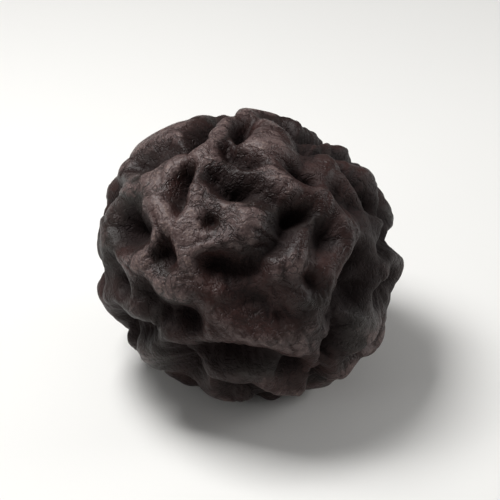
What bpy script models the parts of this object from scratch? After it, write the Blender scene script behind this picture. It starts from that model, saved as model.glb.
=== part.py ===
"""Black peppercorn: the dried berry of the pepper vine, about 5 mm across.

It is one solid. The flesh has dried down onto the hard seed, so the skin has sunk in long
pits and stands in a net of wrinkles between them. The stigma's button and the stem scar lie
nearly opposite each other, and the underside has a small flat spot where the berry was
pressed while it dried.

Metres, +Z up, -Y towards the viewer. The origin is the middle of the flat spot.
"""

import math

import bmesh
import bpy
import numpy as np

# The body
BODY_RADIUS = 0.00212  # under the relief
BODY_STRETCH = (1.05, 0.97, 0.91)  # the berry is wider than it is high
DENT_DEPTH = 0.00006
DENT_LENGTH = 0.0036  # from one dent to the next
WAVES = 24  # in each random field

# The pits
PIT_COUNT = 88
PIT_HALF_LENGTHS = (0.00014, 0.00046)
PIT_WIDTHS = (0.00026, 0.00038)  # at half their depth
PIT_DEPTHS = (0.00024, 0.00046)
PIT_STEEPNESS = 1.8  # 2 is a bell; less gives a pit a sharper bottom and a wider mouth
PLACES_ALONG = 7  # of a pit, from which distances are taken
UNEVENNESS, UNEVEN_LENGTH = 0.3, 0.0007  # of the pits' depth, and its length on the skin
MEANDERS = ((0.0019, 0.00012), (0.0008, 0.000045))  # wavelength and sideways reach

# The ridges between the pits
CREST_LEVEL = 0.00048  # above the body
RIDGE_HEIGHT = 0.00020  # of a tall ridge over the skin on both sides
RIDGE_WIDTH = 0.00040  # at half its height
LOW_RIDGE, TALL_RIDGE = 0.6, 1.0
SUNKEN_SHARE, SUNKEN_RIDGE = 0.15, 0.2  # ridges that have nearly dried flat
FADE_LENGTH, FADE = 0.0016, 0.16  # ridges rise and fall along their run

# The finer wrinkles that cross the pits
FINE_CELL_COUNT = 380
FINE_HEIGHT = 0.00009
FINE_WIDTH = 0.00016
FINE_ON_CRESTS = 0.2  # the share of a fine wrinkle's height that is left on a tall crest

# How a net is drawn
NEIGHBOURS = 7  # the nearest cells to a point, whose borders may run by it
SEAM_WIDTH = 0.00014  # on a crest, in which one cell's side blends into the next's
STEEPNESS = 2.7  # 2 is a bell; more gives a ridge a rounder back and steeper sides

# Cells are pushed apart until they lie about evenly
SPREADING_ROUNDS = 10
PUSH_REACH = 1.3  # of the mean spacing, within which two cells push
PUSH_STRENGTH = 0.25

# What a viewer in front and this high above sees, in metres to the right of and above the
# berry's middle: the stigma's button, and the two ends of each pit with its width and depth
VIEW_ELEVATION = math.radians(35)
VIEW_RADIUS = 0.00255
KNOWN_FACE = math.radians(62)  # around the viewer's direction, in which no other pit starts
STIGMA = (-0.00061, 0.00055)
FACE_PITS = (
    (-0.00055, 0.00136, 0.00029, 0.00103, 0.00034, 0.00042),
    (0.00097, 0.00148, 0.00113, 0.00136, 0.00032, 0.00034),
    (0.00158, 0.00115, 0.00215, 0.00079, 0.00055, 0.00016),
    (0.00076, 0.00039, 0.00088, 0.00068, 0.00032, 0.00052),
    (0.00044, 0.00010, 0.00069, 0.00031, 0.00022, 0.00022),
    (0.00124, 0.00025, 0.00132, 0.00014, 0.00034, 0.00036),
    (-0.00063, -0.00014, 0.00008, -0.00022, 0.00034, 0.00036),
    (-0.00139, 0.00004, -0.00128, -0.00004, 0.00028, 0.00029),
    (-0.00202, 0.00049, -0.00195, 0.00035, 0.00040, 0.00042),
    (-0.00103, 0.00140, -0.00113, 0.00084, 0.00026, 0.00030),
    (-0.00168, 0.00165, -0.00162, 0.00163, 0.00034, 0.00024),
    (-0.00037, 0.00190, 0.00002, 0.00161, 0.00024, 0.00021),
    (-0.00220, -0.00021, -0.00215, -0.00039, 0.00030, 0.00028),
    (-0.00172, -0.00056, -0.00143, -0.00095, 0.00028, 0.00028),
    (-0.00109, -0.00107, -0.00099, -0.00117, 0.00032, 0.00028),
    (0.00000, -0.00080, 0.00073, -0.00091, 0.00050, 0.00014),
    (-0.00052, -0.00062, 0.00111, -0.00076, 0.00070, 0.00008),
    (0.00113, -0.00039, 0.00118, -0.00049, 0.00024, 0.00012),
    (0.00191, -0.00045, 0.00197, -0.00056, 0.00040, 0.00052),
    (-0.00073, -0.00175, 0.00042, -0.00181, 0.00036, 0.00038),
    (0.00073, -0.00204, 0.00088, -0.00206, 0.00040, 0.00034),
    (0.00160, -0.00124, 0.00141, -0.00163, 0.00026, 0.00030),
    (0.00158, -0.00076, 0.00143, -0.00107, 0.00022, 0.00018),
)

# The other end of the berry, where it sat on its stem
SCAR_AZIMUTH, SCAR_ELEVATION = math.radians(158), math.radians(-22)

# The stigma's button. Each patch is whole up to its first reach and gone past its second
BUTTON_REACH = (0.00025, 0.00059)
BUTTON_LEVEL = 1.0  # of its top, as a share of the crest level
DIMPLE_RADIUS, DIMPLE_DEPTH = 0.00012, 0.00022

# The stem scar
SCAR_RADIUS = 0.00046
SCAR_REACH = (0.00046, 0.00078)
RIM_LEVEL, SCAR_LEVEL = 0.85, 0.4  # as shares of the crest level
RIM_REACH = 0.00013

# The flat spot that it rests on
FLAT_RADIUS = 0.00054
FLAT_REACH = (0.00046, 0.00088)
FLAT_LEVEL = 0.75  # of the patch around it, as a share of the crest level

# The mesh and its random draws
EDGES_PER_SIDE = 24  # of each of the icosahedron's 20 triangles
SEED = 9


def clear_scene():
    for leftover in list(bpy.data.objects):
        bpy.data.objects.remove(leftover)


def direction(azimuth, elevation):
    """A unit vector. Azimuth 0 is -Y, towards the viewer, and grows towards +X."""
    flat = math.cos(elevation)
    return np.array(
        (math.sin(azimuth) * flat, -math.cos(azimuth) * flat, math.sin(elevation))
    )


def seen_direction(right, up):
    """Where the viewer sees a point of the skin that far right of and above the middle."""
    towards = direction(0, VIEW_ELEVATION)
    upwards = direction(math.pi, math.pi / 2 - VIEW_ELEVATION)
    out = math.sqrt(VIEW_RADIUS**2 - right**2 - up**2)
    return unit(right * np.array((1, 0, 0)) + up * upwards + out * towards)


def unit(vectors):
    return vectors / np.linalg.norm(vectors, axis=-1, keepdims=True)


def smooth_step(low, high, values):
    share = np.clip((values - low) / (high - low), 0, 1)
    return share * share * (3 - 2 * share)


def bell(distance, reach):
    """1 at no distance, falling smoothly to about a third at the reach."""
    return np.exp(-((distance / reach) ** 2))


def distance_from(directions, centre):
    """Along the skin, from a direction to each of the others."""
    return BODY_RADIUS * np.arccos(np.clip(directions @ centre, -1, 1))


def random_waves(directions, wavelength, rng):
    """A smooth random field of about -1 to 1: plane waves of one length, every way round."""
    ways = unit(rng.normal(size=(WAVES, 3)))
    starts = rng.uniform(0, 2 * math.pi, WAVES)
    turns = directions @ ways.T * (2 * math.pi * BODY_RADIUS / wavelength)
    return np.sin(turns + starts).sum(1) / math.sqrt(WAVES)


def meandered(directions, rng):
    """The directions pushed sideways, so that the ridges drawn through them wander."""
    pushed = directions.copy()
    for wavelength, reach in MEANDERS:
        sideways = [random_waves(directions, wavelength, rng) for _ in range(3)]
        pushed += reach / BODY_RADIUS * np.stack(sideways, 1)
    return unit(pushed)


def mean_spacing(count):
    """Between neighbours of that many cells on the unit sphere."""
    return math.sqrt(4 * math.pi / count)


def spread_cells(count, rng, fixed=()):
    """Cell centres on the unit sphere, pushed apart until none lie close.

    The fixed ones stay. They fill the known face, so a free one that falls there is moved
    to the far side before the pushing.
    """
    fixed = np.reshape(fixed, (-1, 3))
    cells = unit(rng.normal(size=(count, 3)))
    if len(fixed):
        cells[cells @ direction(0, VIEW_ELEVATION) > math.cos(KNOWN_FACE)] *= -1
    others = 1 - np.eye(count)
    for _ in range(SPREADING_ROUNDS):
        cells[: len(fixed)] = fixed
        gaps = cells[:, None] - cells[None]
        distance = np.linalg.norm(gaps, axis=2) + np.eye(count)
        closer = np.clip(PUSH_REACH * mean_spacing(count) - distance, 0, None)
        push = PUSH_STRENGTH * closer * others
        cells = unit(cells + (gaps * (push / distance)[..., None]).sum(1))
    cells[: len(fixed)] = fixed
    return cells


def ridge_strengths(count, rng):
    """How tall the ridge between each two cells stands, as a symmetric table."""
    strengths = rng.uniform(LOW_RIDGE, TALL_RIDGE, (count, count))
    strengths[rng.uniform(size=(count, count)) < SUNKEN_SHARE] = SUNKEN_RIDGE
    upper = np.triu(strengths, 1)
    return upper + upper.T


def shares_of_cells(closeness, blend, count):
    """Each cell's claim to a point, passing from one cell to the next within the blend."""
    sharpness = 2 * BODY_RADIUS / (blend * mean_spacing(count))
    claims = np.exp(sharpness * (closeness - closeness.max(1, keepdims=True)))
    return claims / claims.sum(1, keepdims=True)


def net(directions, cells, strengths, width):
    """Ridge height from 0 on a valley floor to 1 on the tallest crest.

    Every cell rules the points that lie nearest to it, and a ridge stands on each border
    between two cells. The border is a great circle, so its distance is a plain product.
    """
    order = np.argpartition(-(directions @ cells.T), NEIGHBOURS, axis=1)
    near = order[:, :NEIGHBOURS]
    closeness = np.einsum("pc,pkc->pk", directions, cells[near])
    one, other = near[:, :, None], near[:, None]
    apart = np.linalg.norm(cells[one] - cells[other], axis=3) + np.eye(NEIGHBOURS)
    from_border = BODY_RADIUS * (closeness[:, :, None] - closeness[:, None]) / apart
    profile = 0.5 ** np.abs(2 * from_border / width) ** STEEPNESS
    seen_from_cell = 1 - np.prod(1 - strengths[one, other] * profile, axis=2)
    return (shares_of_cells(closeness, SEAM_WIDTH, len(cells)) * seen_from_cell).sum(1)


def long_pits(middles, rng):
    """Gives each middle a pit: its two ends, its width and its depth."""
    count = len(middles)
    bearings = unit(np.cross(middles, rng.normal(size=(count, 3))))
    reach = rng.uniform(*PIT_HALF_LENGTHS, (count, 1)) / BODY_RADIUS
    ends = unit(middles - reach * bearings), unit(middles + reach * bearings)
    return [*ends, rng.uniform(*PIT_WIDTHS, count), rng.uniform(*PIT_DEPTHS, count)]


def sunk(directions, near_ends, far_ends, widths, depths):
    """How deep the pits reach at each point."""
    depth_here = np.zeros(len(directions))
    along = np.linspace(0, 1, PLACES_ALONG)[:, None]
    for near, far, width, depth in zip(near_ends, far_ends, widths, depths):
        places = unit(near + along * (far - near))
        away = BODY_RADIUS * np.arccos(np.clip((directions @ places.T).max(1), -1, 1))
        depth_here += depth * 0.5 ** (2 * away / width) ** PIT_STEEPNESS
    return depth_here


def laid_over(relief, patch, distance, reach):
    """The relief with a patch laid over it, which fades out between the two reaches."""
    return patch + (relief - patch) * smooth_step(*reach, distance)


def berry_radius(directions):
    """The distance from the berry's middle to its skin, along each direction."""
    rng = np.random.default_rng(SEED)
    body = BODY_RADIUS / np.linalg.norm(directions / BODY_STRETCH, axis=1)
    dents = DENT_DEPTH * random_waves(directions, DENT_LENGTH, rng)

    # The places that are known from the view meander along with the skin
    stigma = seen_direction(*STIGMA)
    scar = direction(SCAR_AZIMUTH, SCAR_ELEVATION)
    near_ends = [seen_direction(right, up) for right, up, *_ in FACE_PITS]
    far_ends = [seen_direction(right, up) for _, _, right, up, *_ in FACE_PITS]
    known = np.array([stigma, scar, *near_ends, *far_ends])
    wandering = meandered(np.vstack([known, directions]), rng)
    known, wandering = wandering[: len(known)], wandering[len(known) :]
    stigma, scar = known[:2]
    near_ends, far_ends = np.split(known[2:], 2)

    # A net of ridges stands between the middles of the pits, the button and the scar
    pits = spread_cells(PIT_COUNT, rng, [stigma, scar, *unit(near_ends + far_ends)])
    ridges = net(wandering, pits, ridge_strengths(PIT_COUNT, rng), RIDGE_WIDTH)
    ridges = ridges * (1 - FADE + FADE * random_waves(directions, FADE_LENGTH, rng))

    # The pits themselves, those of the known face first
    known_pits = [near_ends, far_ends, *np.array(FACE_PITS)[:, 4:].T]
    other_pits = long_pits(pits[2 + len(FACE_PITS) :], rng)
    pit_depth = sunk(wandering, *map(np.concatenate, zip(known_pits, other_pits)))
    pit_depth *= 1 + UNEVENNESS * random_waves(directions, UNEVEN_LENGTH, rng)

    # The finer wrinkles
    fine_cells = spread_cells(FINE_CELL_COUNT, rng)
    fine = net(wandering, fine_cells, ridge_strengths(FINE_CELL_COUNT, rng), FINE_WIDTH)
    fine = FINE_HEIGHT * fine * (1 - (1 - FINE_ON_CRESTS) * np.clip(ridges, 0, 1))
    relief = dents + CREST_LEVEL - RIDGE_HEIGHT * (1 - ridges) - pit_depth + fine

    # The stigma's button: a low round knob with a dimple
    from_stigma = distance_from(wandering, stigma)
    dimple = DIMPLE_DEPTH * bell(from_stigma, DIMPLE_RADIUS)
    button = BUTTON_LEVEL * CREST_LEVEL - dimple
    relief = laid_over(relief, button, from_stigma, BUTTON_REACH)

    # The scar: a shallow round floor inside a raised rim
    from_scar = distance_from(wandering, scar)
    rim = (RIM_LEVEL - SCAR_LEVEL) * bell(from_scar - SCAR_RADIUS, RIM_REACH)
    floor = CREST_LEVEL * (SCAR_LEVEL + rim) + fine
    relief = laid_over(relief, floor, from_scar, SCAR_REACH)

    # A patch at the bottom is pressed smooth, just below the crests
    from_bottom = distance_from(wandering, np.array((0, 0, -1)))
    relief = laid_over(relief, FLAT_LEVEL * CREST_LEVEL, from_bottom, FLAT_REACH)
    return body + relief


def geodesic_directions(mesh):
    """Fills the mesh with an even sphere of small triangles and returns their directions."""
    sphere = bmesh.new()
    bmesh.ops.create_icosphere(sphere, subdivisions=1, radius=1)
    bmesh.ops.subdivide_edges(
        sphere, edges=sphere.edges[:], cuts=EDGES_PER_SIDE - 1, use_grid_fill=True
    )
    sphere.to_mesh(mesh)
    sphere.free()
    corners = np.empty(len(mesh.vertices) * 3)
    mesh.vertices.foreach_get("co", corners)
    return unit(corners.reshape(-1, 3))


def peppercorn():
    mesh = bpy.data.meshes.new("peppercorn")
    directions = geodesic_directions(mesh)
    skin = directions * berry_radius(directions)[:, None]

    # The bottom is cut flat where that leaves a spot of its radius, and set down at height 0
    bottom = BODY_RADIUS * BODY_STRETCH[2] + FLAT_LEVEL * CREST_LEVEL
    cut = FLAT_RADIUS**2 / (2 * bottom) - bottom
    skin[:, 2] = np.maximum(skin[:, 2], cut) - cut
    mesh.vertices.foreach_set("co", skin.ravel())
    mesh.update()
    mesh.shade_smooth()
    return bpy.data.objects.new("peppercorn", mesh)


def dried_skin():
    material = bpy.data.materials.new("dried_skin")
    material.use_nodes = True
    surface = material.node_tree.nodes["Principled BSDF"]
    surface.inputs["Base Color"].default_value = (0.045, 0.031, 0.026, 1)
    surface.inputs["Roughness"].default_value = 0.55
    surface.inputs["Metallic"].default_value = 0.0
    return material


def main():
    clear_scene()
    parts = bpy.data.collections.new("Black peppercorn")
    bpy.context.scene.collection.children.link(parts)
    berry = peppercorn()
    berry.data.materials.append(dried_skin())
    parts.objects.link(berry)


main()
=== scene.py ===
# %% [markdown]
# # A black peppercorn
#
# A black peppercorn is the whole berry of the pepper vine, picked green and dried in the sun.
# The thin flesh shrinks onto the hard round seed, so the skin has more area than it needs and
# buckles into a net of wrinkles, and it turns a brown that is close to black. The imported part
# has this form in few triangles. This lesson grows the same form again, fine enough for a
# close view, adds the small creases and the colours, and lights it like a product picture.

import math

import bmesh
import bpy
import numpy as np
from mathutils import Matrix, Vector


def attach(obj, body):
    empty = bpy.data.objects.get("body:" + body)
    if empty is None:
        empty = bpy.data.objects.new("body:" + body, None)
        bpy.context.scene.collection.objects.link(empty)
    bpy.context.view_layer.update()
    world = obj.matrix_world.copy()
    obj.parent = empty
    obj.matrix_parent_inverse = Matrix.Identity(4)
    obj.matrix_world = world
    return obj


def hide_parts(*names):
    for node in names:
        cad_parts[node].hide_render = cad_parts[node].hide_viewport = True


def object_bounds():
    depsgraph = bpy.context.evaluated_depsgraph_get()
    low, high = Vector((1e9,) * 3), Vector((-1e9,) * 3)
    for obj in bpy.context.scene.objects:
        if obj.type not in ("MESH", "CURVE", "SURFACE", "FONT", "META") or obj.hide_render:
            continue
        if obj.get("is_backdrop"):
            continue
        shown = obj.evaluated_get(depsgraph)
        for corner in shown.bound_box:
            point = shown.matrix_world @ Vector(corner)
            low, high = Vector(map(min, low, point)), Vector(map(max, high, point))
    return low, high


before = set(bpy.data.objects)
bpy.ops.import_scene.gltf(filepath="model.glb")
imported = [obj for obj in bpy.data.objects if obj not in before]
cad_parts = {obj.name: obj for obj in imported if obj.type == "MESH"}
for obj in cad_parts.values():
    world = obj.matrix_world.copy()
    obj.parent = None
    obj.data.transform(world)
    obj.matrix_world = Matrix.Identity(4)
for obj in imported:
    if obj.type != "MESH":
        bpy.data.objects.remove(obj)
cad_low, cad_high = (np.array(corner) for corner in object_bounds())
MM = 0.001
print("the part measures", np.round((cad_high - cad_low) / MM, 2), "mm")

# %% [markdown]
# ## A ball of small even triangles
#
# The berry is a ball, so each point of its skin is a direction and a distance from the middle.
# A globe of rings and slices crowds its points at the poles, and a cube blown up to a ball
# has wide triangles and narrow ones. An icosahedron whose 20 faces are each cut into a grid
# keeps the triangles close to one size, so small creases come out the same everywhere.
# Sculpting by hand would do too, but a formula can be grown again at any fineness, which is
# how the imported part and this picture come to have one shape.

# %% Directions from the middle of the berry
EDGES_PER_SIDE = 98  # of each of the icosahedron's 20 triangles


def unit(vectors):
    return vectors / np.linalg.norm(vectors, axis=-1, keepdims=True)


def geodesic_directions(mesh):
    """Fills the mesh with an even sphere of small triangles and returns their directions."""
    sphere = bmesh.new()
    bmesh.ops.create_icosphere(sphere, subdivisions=1, radius=1)
    bmesh.ops.subdivide_edges(
        sphere, edges=sphere.edges[:], cuts=EDGES_PER_SIDE - 1, use_grid_fill=True
    )
    sphere.to_mesh(mesh)
    sphere.free()
    corners = np.empty(len(mesh.vertices) * 3)
    mesh.vertices.foreach_get("co", corners)
    return unit(corners.reshape(-1, 3))


skin_mesh = bpy.data.meshes.new("wrinkled_berry")
directions = geodesic_directions(skin_mesh)
print(len(directions), "points and", len(skin_mesh.polygons), "triangles")

# %% [markdown]
# ## The body under the wrinkles
#
# The seed is nearly round, a little wider than high, and dries with broad shallow dents. A
# noise texture would do for the dents, but a sum of plane waves is as smooth, needs no
# texture, and a seeded generator draws the same waves every time. The draws in this lesson
# come in one fixed order, because each one shifts those after it.

# %% The body and its dents
SEED = 9
BODY_RADIUS = 2.12 * MM  # under the relief
BODY_STRETCH = (1.05, 0.97, 0.91)
DENT_DEPTH = 0.06 * MM
DENT_LENGTH = 3.6 * MM  # from one dent to the next
WAVES = 24  # in each random field

rng = np.random.default_rng(SEED)


def random_waves(directions, wavelength, rng):
    """A smooth random field of about -1 to 1: plane waves of one length, every way round."""
    ways = unit(rng.normal(size=(WAVES, 3)))
    starts = rng.uniform(0, 2 * math.pi, WAVES)
    turns = directions @ ways.T * (2 * math.pi * BODY_RADIUS / wavelength)
    return np.sin(turns + starts).sum(1) / math.sqrt(WAVES)


body = BODY_RADIUS / np.linalg.norm(directions / BODY_STRETCH, axis=1)
dents = DENT_DEPTH * random_waves(directions, DENT_LENGTH, rng)
print("its radius runs from", round(body.min() / MM, 2), "to", round(body.max() / MM, 2), "mm")

# %% [markdown]
# ## Where the pits lie
#
# The skin sinks in long pits, and the wrinkles are what stays up between them. A picture shows
# one side of a berry: the button where the flower's stigma sat, and the pits around it. These
# have known places, given as a viewer in front and 35 degrees above sees them. The pits on the
# far side are drawn at random and pushed apart until they lie about evenly, as real ones do,
# since each takes up its share of the shrinking.

# %% The pits that show, and the two ends of the berry
VIEW_ELEVATION = math.radians(35)
VIEW_RADIUS = 2.55 * MM  # of the ball on which the viewer reads the places
STIGMA_RIGHT, STIGMA_UP = -0.61 * MM, 0.55 * MM  # of the middle, as the viewer sees it
FACE_PITS = (  # millimetres right and up of a pit's two ends, then its width and depth
    (-0.55, 1.36, 0.29, 1.03, 0.34, 0.42),
    (0.97, 1.48, 1.13, 1.36, 0.32, 0.34),
    (1.58, 1.15, 2.15, 0.79, 0.55, 0.16),
    (0.76, 0.39, 0.88, 0.68, 0.32, 0.52),
    (0.44, 0.10, 0.69, 0.31, 0.22, 0.22),
    (1.24, 0.25, 1.32, 0.14, 0.34, 0.36),
    (-0.63, -0.14, 0.08, -0.22, 0.34, 0.36),
    (-1.39, 0.04, -1.28, -0.04, 0.28, 0.29),
    (-2.02, 0.49, -1.95, 0.35, 0.40, 0.42),
    (-1.03, 1.40, -1.13, 0.84, 0.26, 0.30),
    (-1.68, 1.65, -1.62, 1.63, 0.34, 0.24),
    (-0.37, 1.90, 0.02, 1.61, 0.24, 0.21),
    (-2.20, -0.21, -2.15, -0.39, 0.30, 0.28),
    (-1.72, -0.56, -1.43, -0.95, 0.28, 0.28),
    (-1.09, -1.07, -0.99, -1.17, 0.32, 0.28),
    (0.00, -0.80, 0.73, -0.91, 0.50, 0.14),
    (-0.52, -0.62, 1.11, -0.76, 0.70, 0.08),
    (1.13, -0.39, 1.18, -0.49, 0.24, 0.12),
    (1.91, -0.45, 1.97, -0.56, 0.40, 0.52),
    (-0.73, -1.75, 0.42, -1.81, 0.36, 0.38),
    (0.73, -2.04, 0.88, -2.06, 0.40, 0.34),
    (1.60, -1.24, 1.41, -1.63, 0.26, 0.30),
    (1.58, -0.76, 1.43, -1.07, 0.22, 0.18),
)
SCAR_AZIMUTH, SCAR_ELEVATION = math.radians(158), math.radians(-22)


def direction(azimuth, elevation):
    """A unit vector. Azimuth 0 is -Y, towards the viewer, and grows towards +X."""
    flat = math.cos(elevation)
    return np.array(
        (math.sin(azimuth) * flat, -math.cos(azimuth) * flat, math.sin(elevation))
    )


def seen_direction(right, up):
    """Where the viewer sees a point of the skin that far right of and above the middle."""
    towards = direction(0, VIEW_ELEVATION)
    upwards = direction(math.pi, math.pi / 2 - VIEW_ELEVATION)
    out = math.sqrt(VIEW_RADIUS**2 - right**2 - up**2)
    return unit(right * np.array((1, 0, 0)) + up * upwards + out * towards)


stigma = seen_direction(STIGMA_RIGHT, STIGMA_UP)
scar = direction(SCAR_AZIMUTH, SCAR_ELEVATION)
near_ends = [seen_direction(right * MM, up * MM) for right, up, *_ in FACE_PITS]
far_ends = [seen_direction(right * MM, up * MM) for _, _, right, up, *_ in FACE_PITS]
known = np.array([stigma, scar, *near_ends, *far_ends])
print(len(FACE_PITS), "pits have known places")

# %% [markdown]
# ## Nothing runs straight
#
# The pits and ridges of a dried berry wander. Bending each one by hand would take many
# numbers, so all directions are pushed sideways by a few random waves instead, and whatever
# is drawn through them wanders. The free pits come next. Random places alone would leave
# bald stretches and clumps, and a regular pattern would look knitted, so the pits start at
# random and then push their neighbours away for a few rounds.

# %% Let the pits meander, and spread the other ones
PIT_COUNT = 88  # with the button and the scar, which take up a place each
KNOWN_FACE = math.radians(62)  # around the viewer's direction, in which no other pit starts
MEANDERS = (  # wavelength, sideways reach
    (1.9 * MM, 0.12 * MM),
    (0.8 * MM, 0.045 * MM),
)
SPREADING_ROUNDS = 10
PUSH_REACH = 1.3  # of the mean spacing, within which two cells push
PUSH_STRENGTH = 0.25


def meandered(directions, rng):
    """The directions pushed sideways, so that the ridges drawn through them wander."""
    pushed = directions.copy()
    for wavelength, reach in MEANDERS:
        sideways = [random_waves(directions, wavelength, rng) for _ in range(3)]
        pushed += reach / BODY_RADIUS * np.stack(sideways, 1)
    return unit(pushed)


def mean_spacing(count):
    """Between neighbours of that many cells on the unit sphere."""
    return math.sqrt(4 * math.pi / count)


def spread_cells(count, rng, fixed=()):
    """Cell centres on the unit sphere, pushed apart until none lie close.

    The fixed ones stay. They fill the known face, so a free one that falls there is moved
    to the far side before the pushing.
    """
    fixed = np.reshape(fixed, (-1, 3))
    cells = unit(rng.normal(size=(count, 3)))
    if len(fixed):
        cells[cells @ direction(0, VIEW_ELEVATION) > math.cos(KNOWN_FACE)] *= -1
    others = 1 - np.eye(count)
    for _ in range(SPREADING_ROUNDS):
        cells[: len(fixed)] = fixed
        gaps = cells[:, None] - cells[None]
        distance = np.linalg.norm(gaps, axis=2) + np.eye(count)
        closer = np.clip(PUSH_REACH * mean_spacing(count) - distance, 0, None)
        push = PUSH_STRENGTH * closer * others
        cells = unit(cells + (gaps * (push / distance)[..., None]).sum(1))
    cells[: len(fixed)] = fixed
    return cells


wandering = meandered(np.vstack([known, directions]), rng)
known, wandering = wandering[: len(known)], wandering[len(known) :]
stigma, scar = known[:2]
near_ends, far_ends = np.split(known[2:], 2)
known_places = [stigma, scar, *unit(near_ends + far_ends)]
pits = spread_cells(PIT_COUNT, rng, known_places)
print(PIT_COUNT, "places, about", round(mean_spacing(PIT_COUNT) * BODY_RADIUS / MM, 2), "mm apart")

# %% [markdown]
# ## The wrinkles between the pits
#
# Between two pits the skin stays up in a ridge, so a ridge follows the border between their
# middles. A Voronoi texture finds such borders, but its walls have sharp backs and all one
# height. Here each border is a great circle, so a point's distance from it is a plain
# product, and the ridge is given a rounded back, a true width in millimetres and a height of
# its own. Some ridges have nearly dried flat.

# %% How tall each ridge stands
LOW_RIDGE, TALL_RIDGE = 0.6, 1.0
SUNKEN_SHARE, SUNKEN_RIDGE = 0.15, 0.2  # ridges that have nearly dried flat


def ridge_strengths(count, rng):
    """How tall the ridge between each two cells stands, as a symmetric table."""
    heights = rng.uniform(LOW_RIDGE, TALL_RIDGE, (count, count))
    heights[rng.uniform(size=(count, count)) < SUNKEN_SHARE] = SUNKEN_RIDGE
    upper = np.triu(heights, 1)
    return upper + upper.T


strengths = ridge_strengths(PIT_COUNT, rng)
print(round(100 * (strengths == SUNKEN_RIDGE).mean()), "% of the ridges have nearly dried flat")

# %% Draw a net
NEIGHBOURS = 7  # the nearest cells to a point, whose borders may run by it
SEAM_WIDTH = 0.14 * MM  # on a crest, in which one cell's side blends into the next's
STEEPNESS = 2.7  # 2 is a bell; more gives a ridge a rounder back and steeper sides


def shares_of_cells(closeness, blend, count):
    """Each cell's claim to a point, passing from one cell to the next within the blend."""
    sharpness = 2 * BODY_RADIUS / (blend * mean_spacing(count))
    claims = np.exp(sharpness * (closeness - closeness.max(1, keepdims=True)))
    return claims / claims.sum(1, keepdims=True)


def net(directions, cells, strengths, width):
    """Ridge height from 0 on a valley floor to 1 on the tallest crest."""
    order = np.argpartition(-(directions @ cells.T), NEIGHBOURS, axis=1)
    near = order[:, :NEIGHBOURS]
    closeness = np.einsum("pc,pkc->pk", directions, cells[near])
    one, other = near[:, :, None], near[:, None]
    apart = np.linalg.norm(cells[one] - cells[other], axis=3) + np.eye(NEIGHBOURS)
    from_border = BODY_RADIUS * (closeness[:, :, None] - closeness[:, None]) / apart
    profile = 0.5 ** np.abs(2 * from_border / width) ** STEEPNESS
    seen_from_cell = 1 - np.prod(1 - strengths[one, other] * profile, axis=2)
    return (shares_of_cells(closeness, SEAM_WIDTH, len(cells)) * seen_from_cell).sum(1)


print("each point looks for borders among its", NEIGHBOURS, "nearest cells")

# %% The ridges between the pits
CREST_LEVEL = 0.48 * MM  # above the body
RIDGE_HEIGHT = 0.20 * MM  # of a tall ridge over the skin on both sides
RIDGE_WIDTH = 0.40 * MM  # at half its height
FADE_LENGTH, FADE = 1.6 * MM, 0.16  # ridges rise and fall along their run

ridges = net(wandering, pits, strengths, RIDGE_WIDTH)
ridges = ridges * (1 - FADE + FADE * random_waves(directions, FADE_LENGTH, rng))
print("the net stands at", round(ridges.mean(), 2), "of a tall ridge's height on average")

# %% [markdown]
# ## The pits
#
# A drying berry doesn't sink in round holes. The skin folds in along a short line, so a pit
# is a groove about a third of a millimetre wide and up to a millimetre long. Its depth
# depends on the distance from that line alone, which is taken here from a few places along
# it. Where pits meet, their depths add up and they run into one crooked valley. Cutting them
# out with other solids would leave hard edges, and a bump map wouldn't show in the outline.

# %% The pits themselves
PIT_HALF_LENGTHS = (0.14 * MM, 0.46 * MM)
PIT_WIDTHS = (0.26 * MM, 0.38 * MM)  # at half their depth
PIT_DEPTHS = (0.24 * MM, 0.46 * MM)
PIT_STEEPNESS = 1.8  # 2 is a bell; less gives a pit a sharper bottom and a wider mouth
PLACES_ALONG = 7  # of a pit, from which distances are taken
UNEVENNESS, UNEVEN_LENGTH = 0.3, 0.7 * MM  # of a pit's depth along it


def long_pits(middles, rng):
    """Gives each middle a pit: its two ends, its width and its depth."""
    count = len(middles)
    bearings = unit(np.cross(middles, rng.normal(size=(count, 3))))
    reach = rng.uniform(*PIT_HALF_LENGTHS, (count, 1)) / BODY_RADIUS
    ends = unit(middles - reach * bearings), unit(middles + reach * bearings)
    return [*ends, rng.uniform(*PIT_WIDTHS, count), rng.uniform(*PIT_DEPTHS, count)]


def sunk(directions, near_ends, far_ends, widths, depths):
    """How deep the pits reach at each point."""
    depth_here = np.zeros(len(directions))
    along = np.linspace(0, 1, PLACES_ALONG)[:, None]
    for near, far, width, depth in zip(near_ends, far_ends, widths, depths):
        places = unit(near + along * (far - near))
        away = BODY_RADIUS * np.arccos(np.clip((directions @ places.T).max(1), -1, 1))
        depth_here += depth * 0.5 ** (2 * away / width) ** PIT_STEEPNESS
    return depth_here


*_, known_widths, known_depths = np.array(FACE_PITS).T * MM
known_pits = [near_ends, far_ends, known_widths, known_depths]
other_pits = long_pits(pits[len(known_places) :], rng)
pit_depth = sunk(wandering, *map(np.concatenate, zip(known_pits, other_pits)))
pit_depth *= 1 + UNEVENNESS * random_waves(directions, UNEVEN_LENGTH, rng)
print("the deepest pit sinks", round(pit_depth.max() / MM, 2), "mm")

# %% [markdown]
# ## Finer wrinkles
#
# The same net, drawn with about four times as many cells, gives the low wrinkles that cross
# the pits. On the backs of the large ridges the skin is taut, so they are lower there.

# %% The finer net
FINE_CELL_COUNT = 380
FINE_HEIGHT = 0.09 * MM
FINE_WIDTH = 0.16 * MM
FINE_ON_CRESTS = 0.2  # the share of a fine wrinkle's height that is left on a tall crest

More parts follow.
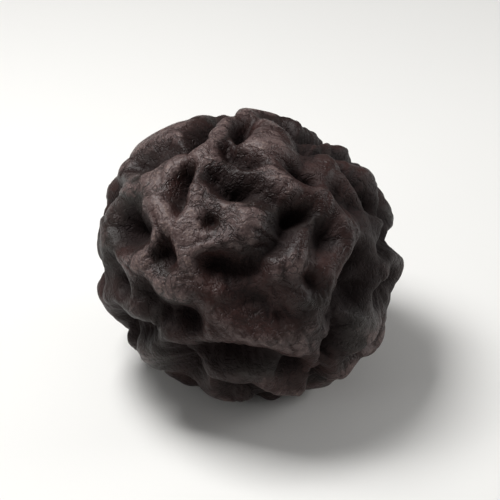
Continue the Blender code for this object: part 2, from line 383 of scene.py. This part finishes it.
fine_cells = spread_cells(FINE_CELL_COUNT, rng)
fine = net(wandering, fine_cells, ridge_strengths(FINE_CELL_COUNT, rng), FINE_WIDTH)
fine = FINE_HEIGHT * fine * (1 - (1 - FINE_ON_CRESTS) * np.clip(ridges, 0, 1))
relief = dents + CREST_LEVEL - RIDGE_HEIGHT * (1 - ridges) - pit_depth + fine
print("the relief spans", round((relief.max() - relief.min()) / MM, 2), "mm")

# %% [markdown]
# ## The two ends and the flat spot
#
# The flower's stigma leaves a low round button with a dimple, as high as the crests around
# it. At the other end the stem leaves a scar, sunk inside a rim. The berry was pressed flat
# at one spot while it dried, and it rests there. Modelling these as parts of their own would
# leave a seam, so each is a patch laid over the relief that fades out at its edge.

# %% Lay the button, the scar and the flat spot over the relief
BUTTON_REACH = (0.25 * MM, 0.59 * MM)  # a patch is whole up to the first, gone past the second
BUTTON_LEVEL = 1.0  # of its top, as a share of the crest level
DIMPLE_RADIUS, DIMPLE_DEPTH = 0.12 * MM, 0.22 * MM
SCAR_RADIUS = 0.46 * MM  # to the top of its rim
SCAR_REACH = (SCAR_RADIUS, 0.78 * MM)
RIM_LEVEL, SCAR_LEVEL = 0.85, 0.4  # of the rim's top and the scar's floor
RIM_REACH = 0.13 * MM  # to each side of its top, where a third of it is left
FLAT_RADIUS = 0.54 * MM
FLAT_REACH = (0.46 * MM, 0.88 * MM)
FLAT_LEVEL = 0.75  # of the skin above the cut


def smooth_step(low, high, values):
    share = np.clip((values - low) / (high - low), 0, 1)
    return share * share * (3 - 2 * share)


def bell(distance, reach):
    """1 at no distance, falling smoothly to about a third at the reach."""
    return np.exp(-((distance / reach) ** 2))


def distance_from(directions, centre):
    """Along the skin, from a direction to each of the others."""
    return BODY_RADIUS * np.arccos(np.clip(directions @ centre, -1, 1))


def laid_over(relief, patch, distance, reach):
    """The relief with a patch laid over it, which fades out between the two reaches."""
    return patch + (relief - patch) * smooth_step(*reach, distance)


from_stigma = distance_from(wandering, stigma)
button = BUTTON_LEVEL * CREST_LEVEL - DIMPLE_DEPTH * bell(from_stigma, DIMPLE_RADIUS)
relief = laid_over(relief, button, from_stigma, BUTTON_REACH)

from_scar = distance_from(wandering, scar)
rim = (RIM_LEVEL - SCAR_LEVEL) * bell(from_scar - SCAR_RADIUS, RIM_REACH)
scar_floor = CREST_LEVEL * (SCAR_LEVEL + rim) + fine
relief = laid_over(relief, scar_floor, from_scar, SCAR_REACH)

from_bottom = distance_from(wandering, np.array((0, 0, -1)))
relief = laid_over(relief, FLAT_LEVEL * CREST_LEVEL, from_bottom, FLAT_REACH)
print("the button is", round(2 * BUTTON_REACH[1] / MM, 2), "mm across its skirt")

# %% [markdown]
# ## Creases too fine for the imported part
#
# Where a pit sank, the skin around it was gathered, so short creases run down its sides to
# its middle, as in the mouth of a drawn bag. A bearing about each pit's middle gives them: a
# whole number of creases goes round each pit. They are real geometry and not a bump map,
# because they notch the ridges' backs where the light grazes them.

# %% Gathers around the pits
GATHERS = (9, 16)  # the fewest and most around one pit
GATHER_DEPTH = 0.026 * MM
GATHER_SHARPNESS = 2.0
GATHER_PATCH = 1.3 * MM  # gathers come and go over the berry at this length
GATHER_WOBBLE, GATHER_WOBBLE_LENGTH = 0.9, 0.7 * MM
GATHERED = (-0.6, 0.8)  # of the waves' height, over which the gathers set in
FLANKS, FLOORS = (0.0, 0.4), (0.7, 1.1)  # shares of a deep pit's depth, over which each sets in
FLOOR_LOSS = 0.5  # of the gathers' depth, on a pit's floor
STAR_REACH = (0.06 * MM, 0.22 * MM)  # from a pit's middle, where they would all meet


def notches(angle, sharpness):
    """1 along the middle of each crease, 0 halfway to the next one."""
    return (0.5 + 0.5 * np.cos(angle)) ** sharpness


nearest = np.argmax(wandering @ pits.T, axis=1)
middle = pits[nearest]
east = unit(np.cross(middle, unit(rng.normal(size=3))))
north = np.cross(middle, east)
bearing = np.arctan2((wandering * north).sum(1), (wandering * east).sum(1))
turns = rng.integers(*GATHERS, PIT_COUNT)[nearest] * bearing
starts = rng.uniform(0, 2 * math.pi, PIT_COUNT)[nearest]
wobble = GATHER_WOBBLE * random_waves(directions, GATHER_WOBBLE_LENGTH, rng)
gathers = notches(turns + starts + wobble, GATHER_SHARPNESS)
sunk_share = pit_depth / PIT_DEPTHS[1]
flank = smooth_step(*FLANKS, sunk_share) - FLOOR_LOSS * smooth_step(*FLOORS, sunk_share)
from_middle = BODY_RADIUS * np.linalg.norm(wandering - middle, axis=1)
flank = flank * smooth_step(*STAR_REACH, from_middle)
patches = random_waves(directions, GATHER_PATCH, rng)
gathers = gathers * flank * smooth_step(*GATHERED, patches)
print("the gathers are up to", round(GATHER_DEPTH * gathers.max() / MM, 3), "mm deep")

# %% [markdown]
# ## Hair wrinkles
#
# Over everything runs a web of hair-thin wrinkles, where the outermost skin dried last. They
# lie where a field of short waves crosses zero, which gives lines that branch and never end.

# %% Hair wrinkles in two sizes
HAIR_LENGTHS = (0.62 * MM, 0.36 * MM)
HAIR_DEPTHS = (0.020 * MM, 0.012 * MM)
HAIR_SHARPNESS = 0.3  # of the waves' height, to each side of the crossing

hair = np.zeros(len(directions))
for wavelength, depth in zip(HAIR_LENGTHS, HAIR_DEPTHS):
    hair += depth * bell(random_waves(wandering, wavelength, rng), HAIR_SHARPNESS)
print("hair wrinkles lie on", round(100 * (hair > HAIR_DEPTHS[1]).mean()), "% of the skin")

# %% [markdown]
# ## The scar's bare cork
#
# Where the stem broke off, the berry is bare cork. It has a pore in the middle, through which
# the stem's vessels ran, and cracks from there to its rim, since it shrank as it dried. A
# disc with a material of its own would end at a clean line. The real edge is ragged, so the
# scar is a mask on the same skin, and the distance that it is made from wobbles a little.

# %% The scar's pore, cracks and ragged edge
PORE_RADIUS, PORE_SINK = 0.09 * MM, 0.07 * MM
CRACKS, CRACK_DEPTH = 7, 0.03 * MM
CRACK_SHARPNESS, CRACK_WOBBLE = 8.0, 2.0
CRACKS_RING, CRACKS_REACH = SCAR_RADIUS / 2, SCAR_RADIUS / 3  # deepest there, and fading so far
SCAR_WOBBLE, SCAR_WOBBLE_LENGTH = 0.07 * MM, 0.5 * MM
BARE_REACH = (0.6 * SCAR_RADIUS, SCAR_RADIUS)

side = unit(np.cross(scar, (0, 0, 1)))
around = np.arctan2(wandering @ np.cross(scar, side), wandering @ side)
wobble = random_waves(directions, SCAR_WOBBLE_LENGTH, rng)
scar_pore = bell(from_scar, PORE_RADIUS)
cracks = notches(CRACKS * around + CRACK_WOBBLE * wobble, CRACK_SHARPNESS)
cracks = cracks * bell(from_scar - CRACKS_RING, CRACKS_REACH)
bare_scar = 1 - smooth_step(*BARE_REACH, from_scar + SCAR_WOBBLE * wobble)
print("the bare scar is about", round(2 * np.mean(BARE_REACH) / MM, 2), "mm across")

# %% [markdown]
# ## Take all the creases off the relief
#
# They go in last, and stay out of the flat spot, which was pressed smooth. A displacement
# texture could do this too, but only a sum of known depths says how deep the result is.

# %% Sink the creases
pressed = 1 - smooth_step(*FLAT_REACH, from_bottom)
creases = GATHER_DEPTH * gathers + hair + PORE_SINK * scar_pore + CRACK_DEPTH * cracks
relief = relief - creases * (1 - pressed)
print("the creases are up to", round(creases.max() / MM, 3), "mm deep")

# %% [markdown]
# ## From distances to a mesh
#
# Each direction is stretched to its distance, the bottom is cut flat, and the berry is set
# down on it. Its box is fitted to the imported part's, because finer triangles reach a hair
# further out on the crests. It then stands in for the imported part's plain skin.

# %% Set the skin in place
skin = directions * (body + relief)[:, None]
bottom = BODY_RADIUS * BODY_STRETCH[2] + FLAT_LEVEL * CREST_LEVEL
cap_height = FLAT_RADIUS**2 / (2 * bottom)  # of the cap that is cut off
cut = cap_height - bottom
skin[:, 2] = np.maximum(skin[:, 2], cut) - cut
low, high = skin.min(0), skin.max(0)
print("before fitting it measures", np.round((high - low) / MM, 3), "mm")
skin = cad_low + (skin - low) / (high - low) * (cad_high - cad_low)
skin_mesh.vertices.foreach_set("co", skin.ravel())
skin_mesh.update()
skin_mesh.shade_smooth()

berry = bpy.data.objects.new("wrinkled_berry", skin_mesh)
bpy.context.scene.collection.objects.link(berry)
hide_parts("peppercorn")
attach(berry, "root")
print("the flat spot takes in", np.count_nonzero(skin[:, 2] == cad_low[2]), "points")

# %% [markdown]
# ## What the finish needs to know about the shape
#
# On the real skin the colour follows the shape: crests are rubbed paler, pits stay nearly
# black, which is partly the skin's own darker brown and partly painted shade, and the stem
# scar is bare brown cork. Pointiness or ambient occlusion would guess this from the mesh. The
# formula already knows it, so it is stored on the points.

# %% Store height, creases and the scar on the points
# The lower a point lies, the darker it is painted, down to all dark here: partly the pits' own
# dark skin, partly painted shade.
LOWEST = -0.08 * MM  # below which a pit is all dark


def store(name, values):
    attribute = skin_mesh.attributes.new(name, "FLOAT", "POINT")
    attribute.data.foreach_set("value", values.astype(np.float32))
    print(name, "runs from", round(float(values.min()), 2), "to", round(float(values.max()), 2))


store("height", np.clip((relief - LOWEST) / (CREST_LEVEL - LOWEST), 0, 1))
store("crease", gathers + hair / sum(HAIR_DEPTHS) + cracks)
store("bare_scar", bare_scar)
store("scar_pore", scar_pore)

# %% [markdown]
# ## Shader sums in plain Python
#
# A finish is a sum of masks. Written as nodes and links, even a short sum is long to read,
# so a small class wraps a socket and lets Python's own operators add the Math nodes.

# %% A socket that can be used in sums
def plug(socket, value):
    """Links a signal to a socket, or sets a plain value on it."""
    if isinstance(value, Signal):
        socket.id_data.links.new(value.socket, socket)
    else:
        socket.default_value = value


class Signal:
    """An output socket that can be used in sums, as a plain value can."""

    def __init__(self, socket):
        self.socket = socket

    def maths(self, operation, first, second):
        node = self.socket.id_data.nodes.new("ShaderNodeMath")
        node.operation = operation
        plug(node.inputs[0], first)
        plug(node.inputs[1], second)
        return Signal(node.outputs[0])

    def __add__(self, other):
        return self.maths("ADD", self, other)

    __radd__ = __add__

    def __sub__(self, other):
        return self.maths("SUBTRACT", self, other)

    def __rsub__(self, other):
        return self.maths("SUBTRACT", other, self)

    def __mul__(self, other):
        return self.maths("MULTIPLY", self, other)

    __rmul__ = __mul__

    def __abs__(self):
        return self.maths("ABSOLUTE", self, 0.0)


print("a signal takes +, -, * and abs, with a plain number on either side")

# %% [markdown]
# ## One way to add any node
#
# Every node is made the same way: its kind, its settings, then what goes into its sockets.
# The kinds that come up often get a short name of their own.

# %% A material to which any node can be added
NOISE_MIDDLE = 0.5  # about which a noise texture swings
MIX_SHARE, MIX_FIRST, MIX_SECOND, MIX_COLOUR = 0, 6, 7, 2  # a Mix node's sockets for colours


class Finish:
    """A material, with one way to add a node: its settings first, then its sockets."""

    def __init__(self, name):
        self.material = bpy.data.materials.new(name)
        self.material.use_nodes = True
        self.tree = self.material.node_tree
        self.surface = self.tree.nodes["Principled BSDF"]

    def node(self, kind, settings, sockets, output=0):
        node = self.tree.nodes.new("ShaderNode" + kind)
        for name, value in settings.items():
            setattr(node, name, value)
        for name, value in sockets.items():
            plug(node.inputs[name], value)
        return Signal(node.outputs[output])

    def stored(self, name):
        """What the mesh's points store under that name."""
        return self.node("Attribute", {"attribute_name": name}, {}, "Fac")

    def blend(self, share, first, second):
        """One colour at share 0, the other at 1."""
        sockets = {MIX_SHARE: share, MIX_FIRST: first, MIX_SECOND: second}
        return self.node("Mix", {"data_type": "RGBA"}, sockets, MIX_COLOUR)

    def ramp(self, value, low, high):
        """0 up to the low value, 1 from the high one, and smooth between them."""
        settings = {"interpolation_type": "SMOOTHSTEP"}
        return self.node(
            "MapRange", settings, {"Value": value, "From Min": low, "From Max": high}
        )

    def place(self):
        """Where a point of the surface lies on the object, in metres."""
        return self.node("TexCoord", {}, {}, "Object")

    def noise(self, size, detail=2.0, roughness=0.5, distortion=0.0):
        """Smooth noise of about -0.2 to 0.2, in spots of that size in metres."""
        sockets = {
            "Vector": self.place(),
            "Scale": 1 / size,
            "Detail": detail,
            "Roughness": roughness,
            "Distortion": distortion,
        }
        return self.node("TexNoise", {}, sockets, "Fac") - NOISE_MIDDLE


dried_skin = Finish("dried_pepper_skin")
print(dried_skin.material.name, "starts with", len(dried_skin.tree.nodes), "nodes")

# %% [markdown]
# ## The colours of the dried skin
#
# The skin is close to black in the pits, partly its own dark brown and partly painted shade,
# dark brown on the flanks and a greyed brown on the crests, where peppercorns rub against each
# other. Each colour is given in the numbers that a colour picker shows, since those can be
# compared with what the eye sees.

# %% Colours as a colour picker shows them
def paint(red, green, blue):
    """Display values from 0 to 255 as the linear colour that a shader takes."""
    shares = [value / 255 for value in (red, green, blue)]
    linear = [s / 12.92 if s <= 0.04045 else ((s + 0.055) / 1.055) ** 2.4 for s in shares]
    return (*linear, 1.0)


# The pits' near-black: the skin's own dark brown together with painted shade.
PIT_BLACK_AND_SHADE = paint(20, 6, 5)
FLANK_BROWN = paint(33, 20, 18)
CREST_GREY = paint(87, 72, 70)
WARM_BROWN = paint(50, 30, 27)
OLIVE_GREY = paint(37, 31, 28)
WORN_TAN = paint(118, 101, 94)
CORK_BROWN = paint(84, 66, 52)
DARK_CORK = paint(45, 30, 24)
print("the pits are", [round(value, 4) for value in PIT_BLACK_AND_SHADE[:3]], "in linear light")

# %% [markdown]
# ## Noises that break the colours up
#
# No patch of the skin has one even colour. The brown drifts from warm to olive over a
# millimetre or so, mottles come and go at a third of that, and a fine grain breaks the
# crests, where the outermost cells are torn and powdery. Crinkles are thin dark lines of
# painted shade, finer than the hair wrinkles in the mesh. They lie where a noise crosses its
# middle value.

# %% The noises and the crinkles
GRAIN_SIZE, MOTTLE_SIZE = 0.045 * MM, 0.30 * MM
WARM_PATCH_SIZE, OLIVE_PATCH_SIZE = 1.5 * MM, 1.1 * MM
CRINKLE_SIZE = 0.24 * MM
CRINKLE_WIDTH = 0.055  # to each side of the crossing, in the noise's own range

height = dried_skin.stored("height")
crease = dried_skin.stored("crease")
grain = dried_skin.noise(GRAIN_SIZE, detail=3.0, roughness=0.6)
mottle = dried_skin.noise(MOTTLE_SIZE, detail=4.0, roughness=0.6)
warmth = dried_skin.noise(WARM_PATCH_SIZE)
olive = dried_skin.noise(OLIVE_PATCH_SIZE, distortion=0.4)
crossing = dried_skin.noise(CRINKLE_SIZE, detail=3.0, roughness=0.6, distortion=0.5)
crinkle = 1 - dried_skin.ramp(abs(crossing), 0.0, CRINKLE_WIDTH)
print("so far the finish has", len(dried_skin.tree.nodes), "nodes")

# %% [markdown]
# ## From pit to crest
#
# One number, the tone, says how far up from a pit to a crest a point looks. It is the stored
# height, raised and lowered by the noises and darkened by every crease as painted shade, so
# that no border between two colours runs smooth. The colours are then laid over each other by
# tone: black, partly painted shade, the flanks' browns, the crests' grey and, on the highest
# grains, a worn tan.

# %% Lay the colours over each other by tone
MOTTLED, GRAINED = 0.35, 0.26  # how strongly each noise shifts the tone
# How much painted shade the creases and the crinkles put into the tone.
CREASE_SHADE, CRINKLE_SHADE = 0.16, 0.11
WARM_RANGE, OLIVE_RANGE = (-0.08, 0.12), (0.02, 0.18)  # of the noise
FLANK_RANGE, CREST_RANGE = (0.17, 0.75), (0.75, 1.02)  # of the tone
WORN_RANGE, WORN_SHARE = (1.0, 1.14), 0.7  # of the tone, and how much of the crest it covers
WORN_GRAIN = 0.8  # how strongly the grain breaks it up

# The creases and crinkles lower the tone as painted shade.
tone = height + MOTTLED * mottle + GRAINED * grain - CREASE_SHADE * crease - CRINKLE_SHADE * crinkle
flanks = dried_skin.blend(dried_skin.ramp(warmth, *WARM_RANGE), FLANK_BROWN, WARM_BROWN)
flanks = dried_skin.blend(dried_skin.ramp(olive, *OLIVE_RANGE), flanks, OLIVE_GREY)
# Low points get the near-black: partly the pits' own dark skin, partly painted shade.
colour = dried_skin.blend(dried_skin.ramp(tone, *FLANK_RANGE), PIT_BLACK_AND_SHADE, flanks)
colour = dried_skin.blend(dried_skin.ramp(tone, *CREST_RANGE), colour, CREST_GREY)
worn = dried_skin.ramp(tone + WORN_GRAIN * grain, *WORN_RANGE)
colour = dried_skin.blend(WORN_SHARE * worn, colour, WORN_TAN)
print("with its browns it has", len(dried_skin.tree.nodes), "nodes")

# %% [markdown]
# ## The colour of the scar
#
# Cork is paler and yellower than the skin, coarse in grain, and nearly black in the pore.

# %% Lay the cork over the skin
CORK_GRAIN, CORK_PORE = 1.2, 1.5  # how strongly the grain and the pore shift its tone
CORK_RANGE, CORK_SHARE = (0.25, 0.75), 0.85

# The tone brings its painted shade of the cracks and low places into the cork as well.
corky = tone + CORK_GRAIN * grain - CORK_PORE * dried_skin.stored("scar_pore")
cork = dried_skin.blend(dried_skin.ramp(corky, *CORK_RANGE), DARK_CORK, CORK_BROWN)
colour = dried_skin.blend(CORK_SHARE * dried_skin.stored("bare_scar"), colour, cork)
plug(dried_skin.surface.inputs["Base Color"], colour)
print("with the scar it has", len(dried_skin.tree.nodes), "nodes")

# %% [markdown]
# ## Gloss
#
# The skin has a dull gloss where it is taut, on the crests, and none in the pits, where it is
# puckered and dusty. Real gloss is patchy, so the mottles shift it too.

# %% Give the skin its gloss
PIT_ROUGHNESS, CREST_ROUGHNESS = 0.82, 0.42
GLOSS_RANGE, GLOSS_MOTTLE = (0.2, 0.9), 0.25
REFLECTANCE = 0.25  # below the shader's usual half, since dry plant skin reflects little

tautness = dried_skin.ramp(height, *GLOSS_RANGE)
roughness = PIT_ROUGHNESS - (PIT_ROUGHNESS - CREST_ROUGHNESS) * tautness
plug(dried_skin.surface.inputs["Roughness"], roughness + GLOSS_MOTTLE * mottle)
dried_skin.surface.inputs["Specular IOR Level"].default_value = REFLECTANCE
print("roughness falls from", PIT_ROUGHNESS, "in the pits to", CREST_ROUGHNESS, "on the crests")

# %% [markdown]
# ## Relief too fine for triangles
#
# The grain of the torn cells, their pores and the crinkles are hundredths of a millimetre
# deep. In geometry they would need millions of triangles, so a bump map stands in for them.
# Its heights are true ones, in metres, so it can be told how deep each kind is.

# %% Grain, pores and crinkles as a bump map
GRAIN_DEPTH = 0.016 * MM
PORE_SIZE, PORE_DEPTH = 0.09 * MM, 0.006 * MM
PORE_RANGE = (0.05, 0.35)  # of the distance from a pore's middle, in pore sizes
CRINKLE_DEPTH = 0.009 * MM

pore_sockets = {"Vector": dried_skin.place(), "Scale": 1 / PORE_SIZE}
from_pore = dried_skin.node("TexVoronoi", {}, pore_sockets, "Distance")
fine_height = GRAIN_DEPTH * grain + PORE_DEPTH * dried_skin.ramp(from_pore, *PORE_RANGE)
fine_height = fine_height - CRINKLE_DEPTH * crinkle
bump = dried_skin.node("Bump", {}, {"Height": fine_height, "Distance": 1.0}, "Normal")
plug(dried_skin.surface.inputs["Normal"], bump)
berry.data.materials.append(dried_skin.material)
print("the whole finish has", len(dried_skin.tree.nodes), "nodes")

# %% [markdown]
# ## A plain floor
#
# A product picture is taken on white, so the berry lies on a sheet of matt white paper. A
# backdrop that curves up would do too, but from this height it would look the same. The
# sheet is far larger than the berry, so that no edge of it shows, and it belongs to the
# stage and not to the part.

# %% Floor
FLOOR_SIZE = 1000 * MM
PAPER_WHITE, PAPER_ROUGHNESS = paint(236, 235, 232), 0.8

bpy.ops.mesh.primitive_plane_add(size=FLOOR_SIZE)
floor = bpy.context.object
floor.name = "floor"
floor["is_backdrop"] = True
paper = Finish("white_paper")
paper.surface.inputs["Base Color"].default_value = PAPER_WHITE
paper.surface.inputs["Roughness"].default_value = PAPER_ROUGHNESS
floor.data.materials.append(paper.material)
print("the floor is", round(FLOOR_SIZE / MM), "mm wide")

# %% [markdown]
# ## Soft light from above
#
# The light comes from above and a little from the left, so that each crest is lit and each
# pit is dark. A weak light on each side keeps the flanks from going black. All three are
# large for a thing of 5 mm, which keeps their reflections in the skin broad and dull. One
# bright small lamp would put a hard spark on every bump, as if the skin were wet.

# %% Lights
MILLIWATT = 0.001
SOFT_BOXES = (  # name, place and width in millimetres, power in milliwatts
    ("overhead", (-10, 3, 26), 11, 8.0),
    ("window_side", (-24, -16, 14), 10, 0.8),
    ("far_side", (26, 4, 10), 12, 2.6),
)
GLOW_WHITE, GLOW_STRENGTH = (1.0, 1.0, 1.0, 1.0), 0.18  # an even light from all round
middle_of_berry = Vector((cad_low + cad_high) / 2)


def look_at(thing, aim):
    """Turns a light or camera to look at a point, in metres."""
    away = thing.location - aim
    thing.rotation_euler = away.to_track_quat("Z", "Y").to_euler()


def soft_box(name, place, width, power):
    """A square area light that looks at the berry."""
    light = bpy.data.lights.new(name, "AREA")
    light.shape = "SQUARE"
    light.size = width * MM
    light.energy = power * MILLIWATT
    lamp = bpy.data.objects.new(name, light)
    lamp.location = [value * MM for value in place]
    bpy.context.scene.collection.objects.link(lamp)
    look_at(lamp, middle_of_berry)


for name, place, width, power in SOFT_BOXES:
    soft_box(name, place, width, power)
world = bpy.data.worlds.new("studio")
world.use_nodes = True
background = world.node_tree.nodes["Background"]
background.inputs["Color"].default_value = GLOW_WHITE
background.inputs["Strength"].default_value = GLOW_STRENGTH
bpy.context.scene.world = world
print(len(SOFT_BOXES), "lights and an even glow of", GLOW_STRENGTH)

# %% [markdown]
# ## The camera
#
# The camera looks down on the berry at 35 degrees, as one does on a thing on a table. A short
# lens close by would make its near side bulge, so a long one stands far off. It looks at the
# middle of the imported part's box.

# %% Camera
LENS = 180  # millimetres
SHARE_OF_FRAME = 0.62  # that the berry's width takes up
NEAR_LIMIT, FAR_LIMIT = 0.1 * MM, 10000 * MM

camera_data = bpy.data.cameras.new("camera")
camera_data.lens = LENS
camera_data.clip_start = NEAR_LIMIT
camera_data.clip_end = FAR_LIMIT
camera = bpy.data.objects.new("camera", camera_data)
bpy.context.scene.collection.objects.link(camera)
frame_width = float(cad_high[0] - cad_low[0]) / SHARE_OF_FRAME
distance = frame_width * LENS / camera_data.sensor_width
camera.location = middle_of_berry + distance * Vector(direction(0, VIEW_ELEVATION))
look_at(camera, middle_of_berry)
bpy.context.scene.camera = camera
bpy.context.scene.view_settings.view_transform = "Standard"
print("the camera stands", round(distance / MM), "mm away")
